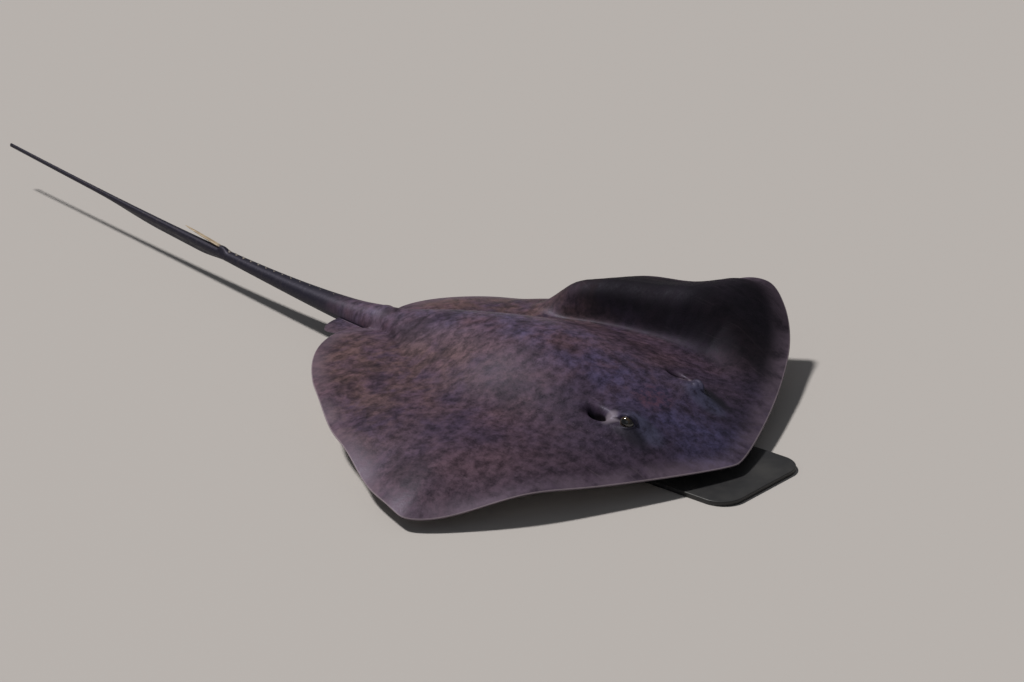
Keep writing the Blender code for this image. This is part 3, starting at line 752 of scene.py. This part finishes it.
def hide_finish():
    """Hide: plum, slate and brown clouds, dark on the tail, painted shade on the raised wing and on the front
    of the disc, a painted sheen along the middle; a white belly.
    """
    material, tree, shader = new_finish("hide")
    flat = read_mark(tree, "flat", "Vector")
    rim = read_mark(tree, "rim", "Fac")
    x, back, below = add("SeparateXYZ", {0: flat}).outputs
    side = work("ABSOLUTE", x)

    # Clouds of colour: browner at the rear, painted shade darkening the front of the disc before the eyes,
    # and a painted bluish sheen along the middle.
    clouds = mottle(flat, 3.1, 5.0, 0.6, 0.4)
    blotches = mottle(flat, 13.0, 6.0, 0.65, 0.3)
    grain = mottle(flat, 48.0, 8.0, 0.70, 0.15)
    specks = mottle(flat, 330.0, 3.0, 0.6)
    rear = times(rise(back, 0.32, 0.75), rise(blotches, 0.38, 0.60))
    rust = times(near_place(side, back, 0.0, 0.212, 0.058, 0.046), rise(grain, 0.4, 0.6))
    colour = coated(
        tint(rise(clouds, 0.36, 0.64), SLATE, PLUM),
        (times(rear, 0.75), BROWN),
        # Painted shade: the front of the disc darkens towards the snout.
        (rise(back, 0.06, 0.50, 0.86, 0.0), PAINTED_FRONT_SHADE),
        # Painted sheen: a bluish reflection along the middle of the back.
        (times(rise(side, 0.02, 0.14, 0.62, 0.0), rise(blotches, 0.30, 0.70)), PAINTED_MIDLINE_SHEEN),
        (times(rust, 0.45), RUST),
    )

    # Shade: grain and specks, painted shade on the raised wing's inner wall that fades out towards its rim,
    # and scattered stains.
    shade = plus(rise(grain, 0.32, 0.68, 0.44, 1.56), rise(specks, 0.30, 0.70, -0.14, 0.14))
    across = plus(x, times(minus(blotches, 0.5), 0.08))
    # Painted shade: the raised wing's inner wall, and more weakly the wing beyond it, darkened as if out of
    # the light.
    painted_wall_shade = times(rise(across, 0.22, 0.35), rise(across, 0.52, 0.70, 1.0, 0.3))
    painted_wall_shade = times(painted_wall_shade, rise(back, 0.66, 0.84, 1.0, 0.0))
    stains = times(rise(mottle(flat, 8.5, 5.0, 0.62), 0.50, 0.60), rise(back, 0.15, 0.45))
    for patch, depth in ((painted_wall_shade, 0.89), (stains, 0.44)):
        shade = times(shade, minus(1.0, times(patch, depth)))
    grey = add("CombineColor", {0: shade, 1: shade, 2: shade}).outputs[0]
    colour = tint(1.0, colour, grey, "MULTIPLY")
    for turn in (0.5, -0.9, 1.7):
        lay = {"Vector": flat, "Rotation": (0.0, 0.0, turn), "Scale": (150.0, 7.0, 1.0)}
        streak = mottle(add("Mapping", lay).outputs[0], 1.0, 2.0, 0.5, 0.3)
        scratch = times(rise(streak, 0.66, 0.80, 0.0, 0.18), rise(clouds, 0.35, 0.6))
        colour = tint(scratch, colour, SCRATCHED)

    # Rim, eyes, spiracles, a line of pores on each side of the back, and the whip of the tail; also a painted
    # sheen on each brow, a painted shadow below it, and painted shade in each spiracle's throat.
    off_tail = minus(1.0, times(rise(back, 0.93, 0.96), rise(side, 0.041, 0.056, 1.0, 0.0)))
    band = times(rise(rim, 0.004, 0.050, 0.55, 0.0), rise(blotches, 0.25, 0.60))
    edge = rise(rim, 0.0005, 0.0030, 0.60, 0.0)
    bridge = near_place(side, back, 0.122, 0.2240, 0.024, 0.017)
    # Painted highlight: a bluish sheen on each brow.
    brow = times(near_place(side, back, 0.097, 0.158, 0.036, 0.058), 0.60)
    # Painted shadow: the flank below each brow, beside the eye, darkened as if shaded by the brow.
    brow_shadow = near_place(side, back, 0.128, 0.162, 0.024, 0.056)
    # Painted shade: each spiracle's throat darkened nearly to black.
    throat = near_place(side, back, SPIRACLE_SIDE, SPIRACLE_BACK, 0.0145, 0.0255)
    line = minus(side, plus(0.150, times(back, 0.115)))
    step = work("DIVIDE", minus(work("FRACT", times(back, 62.0)), 0.5), 62.0)
    spread = plus(work("POWER", line, 2.0), work("POWER", step, 2.0))
    pores = times(rise(spread, 0.0, 1.8e-6, 1.0, 0.0), rise(back, 0.12, 0.16))
    pores = times(pores, rise(back, 0.30, 0.40, 1.0, 0.0))
    scuffs = rise(mottle(flat, 90.0, 5.0, 0.7), 0.52, 0.72)
    whip = tint(times(scuffs, 0.35), WHIP_DARK, WHIP_SCUFF)
    colour = coated(
        colour,
        (times(band, off_tail), RIM_BAND),
        (times(edge, off_tail), RIM_EDGE),
        (times(bridge, 0.85), BRIDGE_PALE),
        (times(brow, rise(grain, 0.25, 0.60)), PAINTED_BROW_SHEEN),
        (times(brow_shadow, 0.85), PAINTED_BROW_SHADOW),
        (rise(throat, 0.10, 0.45), PAINTED_SPIRACLE_SHADE),
        (times(pores, 0.35), PORE_PALE),
        (rise(back, 0.95, 1.16), whip),
    )

    # Belly: faint stains, a dusky wandering margin, and flesh colour in its hollows.
    bow = minus(back, times(work("POWER", side, 2.0), MOUTH_BOW / MOUTH_HALF**2))
    slant = minus(back, times(side, GILL_SLANT))
    openings = [
        (bow, 0.0, MOUTH_BACK, 1.05 * MOUTH_HALF, 0.0050),
        (back, NOSTRIL_SIDE, NOSTRIL_BACK, 0.0090, 0.0080),
        (back, 0.0, VENT_BACK, 0.0050, 0.0140),
    ]
    for k in range(GILLS):
        middle = GILL_SIDE - GILL_CLOSE * k
        openings.append((slant, middle, GILL_FRONT + GILL_STEP * k - GILL_SLANT * middle, GILL_HALF, 0.0038))
    hollows = 0.0
    for opening in openings:
        hollows = work("MAXIMUM", hollows, near_place(side, *opening))
    wander = plus(rim, times(minus(blotches, 0.5), 0.050))
    stain = rise(mottle(flat, 9.0, 5.0, 0.6), 0.40, 0.75, 0.0, 0.55)
    white = coated(
        tint(stain, BELLY_WHITE, BELLY_STAIN),
        (rise(grain, 0.45, 0.75, 0.0, 0.25), BELLY_GRAIN),
        (rise(wander, 0.014, 0.040, 1.0, 0.0), BELLY_RIM),
        (rise(back, 0.91, 0.975), whip),
        (times(hollows, 0.85), HOLLOW_RED),
    )

    rough = plus(rise(grain, 0.30, 0.70, 0.40, 0.54), rise(specks, 0.3, 0.7, -0.05, 0.05))
    rough = plus(rough, times(painted_wall_shade, 0.30))
    relief = plus(mottle(flat, 110.0, 6.0, 0.62, 0.15), times(specks, 0.35))
    join(shader, tint(below, colour, white), rough, relief, 0.45, 0.0010)
    shader.inputs["Specular IOR Level"].default_value = 0.25
    shader.inputs["Specular Tint"].default_value = (0.78, 0.74, 1.0, 1.0)
    return material


hide = hide_finish()
skin = build_skin(hide)
grow_into(skin, [build_fin(1, hide), build_fin(-1, hide)])
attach(skin, "root")
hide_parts("head", "trunk", "wing_left", "wing_right", "pelvic_fin_left", "pelvic_fin_right")
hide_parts("tail_base", "tail_middle", "tail_end")


# --------------------
# Eyeballs: dark glass-like eyes with a clear bulging cornea, a brown iris and a pupil that a scalloped
# flap half covers. Each sits loose in its lids, on the middle of its solid.

CORNEA_ANGLE = 0.78
PUPIL_ANGLE = 0.50
CORNEA_BULGE = 0.0275


def ring_index(rows, columns):
    """Vertex numbers of a grid whose last column meets its first again."""
    index = np.arange(rows * columns).reshape(rows, columns)
    return np.concatenate([index, index[:, :1]], axis=1)


def build_eye(name, side, material):
    """Ball: polar angle from the look direction by turn, with the cornea's cap standing out a little."""
    centre, radius = eye_place(side)
    look, along, over = eye_axes(side)
    polar = np.linspace(0, math.pi, 49)[:, None]
    turn = np.linspace(0, 2 * math.pi, 65)[:-1]
    bulge = CORNEA_BULGE * np.clip(1 - (polar / CORNEA_ANGLE) ** 2, 0, 1) ** 1.5
    length = (radius - 0.0003) * (0.972 + bulge)
    cone = np.sin(polar)[..., None] * (np.cos(turn)[:, None] * along + np.sin(turn)[:, None] * over)
    points = centre + length[..., None] * (np.cos(polar)[..., None] * look + cone)
    index = ring_index(*points.shape[:2])
    index[0] = index[0, 0]
    index[-1] = index[-1, 0]
    body = quads(index[1:-1])
    caps = [
        np.stack([index[0, :-1], index[1, 1:], index[1, :-1]], axis=1),
        np.stack([index[-1, :-1], index[-2, :-1], index[-2, 1:]], axis=1),
    ]
    flip = 1 if np.dot(np.cross(along, over), look) > 0 else -1
    faces = [face[:, ::flip] for face in (body, *caps)]
    gaze = np.stack([polar * np.cos(turn), polar * np.sin(turn), np.zeros(points.shape[:2])], axis=-1)
    return make_piece(name, points.reshape(-1, 3), faces, material, gaze=gaze.reshape(-1, 3))


def eye_finish():
    """Eye: pupil inside one angle from the look direction, flecked iris, then dark sclera; clear gloss."""
    material, tree, shader = new_finish("eye_glass")
    gaze = read_mark(tree, "gaze", "Vector")
    along, over, _ = add("SeparateXYZ", {0: gaze}).outputs
    reach = add("VectorMath", {0: gaze}, operation="LENGTH").outputs["Value"]
    flecks = mottle(gaze, 14.0, 5.0, 0.7)
    iris = tint(rise(flecks, 0.35, 0.65), (0.022, 0.014, 0.009), (0.080, 0.052, 0.024))
    rings = rise(reach, PUPIL_ANGLE, PUPIL_ANGLE + 0.24, 0.0, 0.85)
    pupil = rise(reach, PUPIL_ANGLE - 0.03, PUPIL_ANGLE + 0.02, 1.0, 0.0)
    scallop = times(work("SINE", times(along, 34.0)), 0.035)
    flap = rise(plus(over, scallop), 0.20, 0.24, 1.0, 0.0)
    colour = coated(iris, (rings, (0.010, 0.008, 0.008)), (times(pupil, flap), (0.004, 0.004, 0.005)))
    join(shader, colour, rise(flecks, 0.2, 0.8, 0.06, 0.14))
    shader.inputs["Coat Weight"].default_value = 1.0
    shader.inputs["Coat Roughness"].default_value = 0.03
    return material


eye_glass = eye_finish()
for word, side in (("left", 1), ("right", -1)):
    eyeball = build_eye("eyeball_" + word, side, eye_glass)
    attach(eyeball, "root")
    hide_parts("eye_" + word)


# --------------------
# Thorns: bony cones rooted in the skin, in one row along the back of the tail before the sting, and
# small prickles scattered over the whip behind it. All are one joined mesh.

THORN_ROW = 13
THORN_FRONT = 1.10
THORN_SPAN = 0.375
PRICKLES = 170
PRICKLE_FRONT = 1.66
PRICKLE_REAR = 2.32


def on_back(x, y):
    """Places on the tail's back with the directions out of it and towards its end, by small steps."""
    step = 0.0005

    def at(x, y):
        return posed(x, y, top_height(x, y))

    here = at(x, y)
    aft = at(x, y + step) - here
    aft = aft / np.linalg.norm(aft, axis=-1, keepdims=True)
    out = np.cross(at(x + step, y) - here, aft)
    return here, out / np.linalg.norm(out, axis=-1, keepdims=True), aft


def build_thorns(material):
    """Cones: radius r * (1 - s)^1.6 round an axis that leans back with s^1.5, on an oval scalloped foot."""
    dice = np.random.default_rng(7)
    row_back = THORN_FRONT + THORN_SPAN * np.linspace(0, 1, THORN_ROW) ** 0.85
    row_size = 0.0022 + 0.0040 * np.linspace(0, 1, THORN_ROW) ** 1.5
    whip_back = dice.uniform(PRICKLE_FRONT, PRICKLE_REAR, PRICKLES)
    share = dice.uniform(-0.80, 0.80, PRICKLES)
    x = np.concatenate([np.zeros(THORN_ROW), share * tail_half(whip_back)])
    y = np.concatenate([row_back, whip_back])
    size = np.concatenate([row_size, dice.uniform(0.0007, 0.0014, PRICKLES)])
    here, out, aft = on_back(x, y)
    over = np.cross(out, aft)
    s = np.linspace(0, 1, 5)
    turn = np.linspace(0, 2 * math.pi, 9)[:-1]
    width = 0.75 * (1 - s[:, None]) ** 1.6 * (1 + 0.12 * np.cos(4 * turn) * (1 - s[:, None]))
    lean = 0.95 * s**1.5
    upward = 1.05 * s - 0.12
    along = 1.35 * width * np.sin(turn) + lean[:, None]
    local = np.stack([width * np.cos(turn), along, np.repeat(upward[:, None], len(turn), axis=1)], axis=-1)
    axes = np.stack([over, aft, out], axis=1)
    points = here[:, None, None, :] + np.einsum("rck,nkx->nrcx", local, axes) * size[:, None, None, None]
    index = np.arange(points[..., 0].size).reshape(points.shape[:3])
    index[:, -1] = index[:, -1, :1]
    index = np.concatenate([index, index[:, :, :1]], axis=2)
    ring, above = index[:, :-2], index[:, 1:-1]
    walls = np.stack([ring[..., :-1], ring[..., 1:], above[..., 1:], above[..., :-1]], axis=-1)
    caps = np.stack([index[:, -2, :-1], index[:, -2, 1:], index[:, -1, 1:]], axis=-1)
    faces = [walls.reshape(-1, 4), caps.reshape(-1, 3), index[:, 0, -2::-1]]
    return make_piece("tail_thorns", points.reshape(-1, 3), faces, material)


def thorn_finish():
    """Thorn: dull horn, greyer in patches."""
    material, tree, shader = new_finish("thorn_horn")
    place = add("TexCoord", {}, tree).outputs["Object"]
    patches = mottle(place, 160.0, 4.0, 0.6)
    colour = tint(rise(patches, 0.35, 0.65), (0.085, 0.070, 0.066), (0.20, 0.165, 0.135))
    join(shader, colour, rise(patches, 0.3, 0.7, 0.38, 0.55))
    return material


thorns = build_thorns(thorn_finish())
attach(thorns, "root")


# --------------------
# Sting: a flat dagger of bone that lies on the tail, grooved along its middle and with fine teeth on
# both edges that point back to its root, which sits in a low sleeve of skin.

STING_BACK = 1.50
STING_LENGTH = 0.15
STING_HALF = 0.0055
STING_THICK = 0.0045
STING_LIFT = 4.0
STING_GAP = 0.0003
TEETH = 42
TOOTH_BITE = 0.14
GROOVE_DEPTH = 0.22


def make_ringed(name, points, flip, material, **marks):
    """Piece of rings, each joined to the next, with a face over each end; a flip of -1 turns its faces."""
    index = ring_index(*points.shape[:2])
    faces = [face[:, ::flip] for face in (quads(index), index[:1, -2::-1], index[-1:, :-1])]
    return make_piece(name, points.reshape(-1, 3), faces, material, **marks)


def build_sting(material):
    """Blade: flattened superellipse rings, tapered by sqrt(1 - s^2), with a groove and a saw on each edge."""
    tip = 0.9 + 0.1 * np.sin(np.linspace(0, 1, 40)[1:] * math.pi / 2)
    s = np.concatenate([np.linspace(0, 0.9, 400), tip])
    turn = np.linspace(0, 2 * math.pi, 29)[:-1]
    width = STING_HALF * np.sqrt(1 - s**2 * 0.998)
    tooth = np.mod(s * TEETH, 1.0)
    bite = TOOTH_BITE * (1 - tooth) ** 1.4 * ease(0.10, 0.22, s) * (1 - ease(0.93, 1.0, s))
    edge = np.abs(np.cos(turn)) ** 5
    across_ring = np.sign(np.cos(turn)) * np.abs(np.cos(turn)) ** 0.8
    upright = np.sign(np.sin(turn)) * np.abs(np.sin(turn)) ** 0.8
    groove = mound(np.cos(turn), 0, 0.16) * GROOVE_DEPTH
    x = width[:, None] * across_ring * (0.90 + bite[:, None] * edge)
    z = STING_THICK / 2 * (width / STING_HALF)[:, None] * upright * (1 - groove)
    seat = top_height(np.zeros(1), np.array([STING_BACK]))[0] + STING_GAP + STING_THICK / 2
    climb = seat + s * STING_LENGTH * math.tan(math.radians(STING_LIFT))
    y = np.repeat((STING_BACK + s * STING_LENGTH)[:, None], len(turn), axis=1)
    points = posed(x, y, climb[:, None] + z)
    return make_ringed("sting", points, -1, material, along=np.repeat(s, len(turn)))


def bone_finish():
    """Bone: tan with brown stains along its length, darker at the root where skin covers it."""
    material, tree, shader = new_finish("sting_bone")
    along = read_mark(tree, "along", "Fac")
    place = add("TexCoord", {}, tree).outputs["Object"]
    streaks = add("Mapping", {"Vector": place, "Scale": (420.0, 30.0, 420.0)}).outputs[0]
    stain = mottle(streaks, 1.0, 5.0, 0.6)
    colour = tint(rise(stain, 0.32, 0.68), (0.52, 0.42, 0.29), (0.27, 0.19, 0.115))
    colour = tint(rise(along, 0.04, 0.17, 0.92, 0.0), colour, (0.040, 0.034, 0.042))
    join(shader, colour, rise(stain, 0.3, 0.7, 0.36, 0.54), stain, 0.4, 0.0004)
    return material


sting = build_sting(bone_finish())
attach(sting, "root")
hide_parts("tail_spine")


# --------------------
# Stand plate: 10 mm steel plate with round corners and an eased edge, in black powder coat. It lies
# flat on the floor, and its outline and thickness are those of its solid.

PLATE_CORNER = 0.050
PLATE_EASE = 0.0018
PLATE_CHAMFER = 0.0006


def build_plate(material):
    """Plate: a rounded rectangle's ring carried in, over the eased edge, down and in again underneath."""
    low, high = np.array(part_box("stand_base"))
    quarter = np.linspace(0, math.pi / 2, 17)
    angle = np.concatenate([quarter + k * math.pi / 2 for k in range(4)])
    outward = np.stack([np.cos(angle), np.sin(angle)], axis=1)
    signs = np.repeat([(1, 1), (-1, 1), (-1, -1), (1, -1)], len(quarter), axis=0)
    ring = signs * ((high - low)[:2] / 2 - PLATE_CORNER) + PLATE_CORNER * outward
    arc = np.linspace(0, math.pi / 2, 7)
    inner = [0.046, 0.012]
    inset = np.concatenate([inner, PLATE_EASE * (1 - np.sin(arc)), [0.0, PLATE_CHAMFER], inner[::-1]])
    edge = high[2] - PLATE_EASE * (1 - np.cos(arc))
    height = np.concatenate([[high[2]] * 2, edge, [low[2] + PLATE_CHAMFER], [low[2]] * 3])
    flat = ring - inset[:, None, None] * outward + (high + low)[:2] / 2
    points = np.concatenate([flat, np.repeat(height[:, None, None], len(ring), axis=1)], axis=-1)
    return make_ringed("stand_plate", points, -1, material)


def powder_coat():
    """Powder coat: near-black satin with an orange-peel grain and a little dust."""
    material, tree, shader = new_finish("black_powder_coat")
    place = add("TexCoord", {}, tree).outputs["Object"]
    peel = mottle(place, 520.0, 3.0, 0.5)
    dust = mottle(place, 9.0, 5.0, 0.65)
    colour = tint(rise(dust, 0.35, 0.75), (0.021, 0.021, 0.023), (0.036, 0.035, 0.035))
    join(shader, colour, rise(dust, 0.3, 0.7, 0.38, 0.52), peel, 0.35, 0.0003)
    return material


plate = build_plate(powder_coat())
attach(plate, "root")
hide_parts("stand_base")


# --------------------
# Stand rods: two brushed steel bars that rise from low turned collars on the plate and are let into the
# belly. Radius and height are those of their solids.

COLLAR_RADIUS = 0.016
COLLAR_HEIGHT = 0.010
ROD_EASE = 0.0012
ROD_COVE = 0.0020


def build_rod(name, node, material):
    """Turned bar: a profile of radius and height, collar first, carried round the bar's axis."""
    low, high = np.array(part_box(node))
    x, y = (low + high)[:2] / 2
    radius, top = (high - low)[1:] / (2, 1)
    arc = np.linspace(0, math.pi / 2, 6)
    bend = np.stack([np.cos(arc), np.sin(arc)], axis=1)
    foot = [[COLLAR_RADIUS - ROD_EASE, 0.0], [COLLAR_RADIUS, ROD_EASE]]
    collar = np.array([COLLAR_RADIUS - ROD_EASE, COLLAR_HEIGHT - ROD_EASE]) + ROD_EASE * bend
    cove = np.array([radius, COLLAR_HEIGHT]) + ROD_COVE * (1 - bend[:, ::-1])
    shaft = [[radius, top - ROD_EASE], [radius - ROD_EASE, top]]
    out, up = np.concatenate([foot, collar, cove, shaft]).T[..., None]
    turn = np.linspace(0, 2 * math.pi, 65)[:-1]
    height = np.repeat(low[2] + up, len(turn), axis=1)
    points = np.stack([x + out * np.cos(turn), y + out * np.sin(turn), height], axis=-1)
    return make_ringed(name, points, 1, material)


def brushed_steel():
    """Steel: bright metal with fine scratches round the bar."""
    material, tree, shader = new_finish("brushed_steel")
    place = add("TexCoord", {}, tree).outputs["Object"]
    rings = add("Mapping", {"Vector": place, "Scale": (60.0, 60.0, 2600.0)}).outputs[0]
    scratch = mottle(rings, 1.0, 3.0, 0.6)
    colour = tint(rise(scratch, 0.3, 0.7), (0.50, 0.51, 0.52), (0.62, 0.62, 0.62))
    join(shader, colour, rise(scratch, 0.3, 0.7, 0.22, 0.36), scratch, 0.2, 0.0002)
    shader.inputs["Metallic"].default_value = 1.0
    return material


steel = brushed_steel()
for word in ("front", "rear"):
    bar = build_rod("stand_bar_" + word, "stand_rod_" + word, steel)
    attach(bar, "root")
    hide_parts("stand_rod_" + word)


# --------------------
# Floor, light and camera. The floor is plain and pale; one soft lamp stands high behind the tail and
# rakes down the raised wing's inner wall, and a weak fill stands on the camera's side.

floor_mesh = bpy.data.meshes.new("floor")
floor_mesh.from_pydata([(-40, -40, 0), (40, -40, 0), (40, 40, 0), (-40, 40, 0)], [], [(0, 1, 2, 3)])
floor = bpy.data.objects.new("floor", floor_mesh)
bpy.context.collection.objects.link(floor)
floor_paint, _, floor_shader = new_finish("floor_paint")
floor_shader.inputs["Base Color"].default_value = (0.50, 0.475, 0.46, 1.0)
floor_shader.inputs["Roughness"].default_value = 0.85
floor_shader.inputs["Specular IOR Level"].default_value = 0.15
floor_mesh.materials.append(floor_paint)


def add_lamp(name, place, spread, strength, colour):
    """Distant soft lamp that shines from a place towards the origin, as wide as its spread in degrees."""
    lamp = bpy.data.lights.new(name, "SUN")
    lamp.angle = math.radians(spread)
    lamp.energy = strength
    lamp.color = colour
    holder = bpy.data.objects.new(name, lamp)
    holder.rotation_euler = (-Vector(place)).to_track_quat("-Z", "Y").to_euler()
    bpy.context.collection.objects.link(holder)


add_lamp("key", (-1.05, 3.5, 6.0), 7.0, 3.05, (1.0, 0.97, 0.93))
add_lamp("fill", (-4.5, -2.5, 4.0), 40.0, 0.08, (0.90, 0.94, 1.0))

world = bpy.data.worlds.new("studio")
bpy.context.scene.world = world
world.use_nodes = True
background = world.node_tree.nodes["Background"]
background.inputs["Color"].default_value = (0.92, 0.95, 1.0, 1.0)
background.inputs["Strength"].default_value = 0.11

VIEW_AIM = Vector((0.290, 0.435, -0.023))
VIEW_TURN = math.radians(-48.9)
VIEW_RISE = math.radians(22.2)
VIEW_REACH = 6.25

lens = bpy.data.cameras.new("camera")
lens.lens = 100.0
lens.sensor_width = 36.0
camera = bpy.data.objects.new("camera", lens)
level = math.cos(VIEW_RISE)
out_to_camera = Vector((math.sin(VIEW_TURN) * level, -math.cos(VIEW_TURN) * level, math.sin(VIEW_RISE)))
camera.location = VIEW_AIM + VIEW_REACH * out_to_camera
camera.rotation_euler = (-out_to_camera).to_track_quat("-Z", "Y").to_euler()
bpy.context.collection.objects.link(camera)
bpy.context.scene.camera = camera
bpy.context.scene.view_settings.view_transform = "Standard"
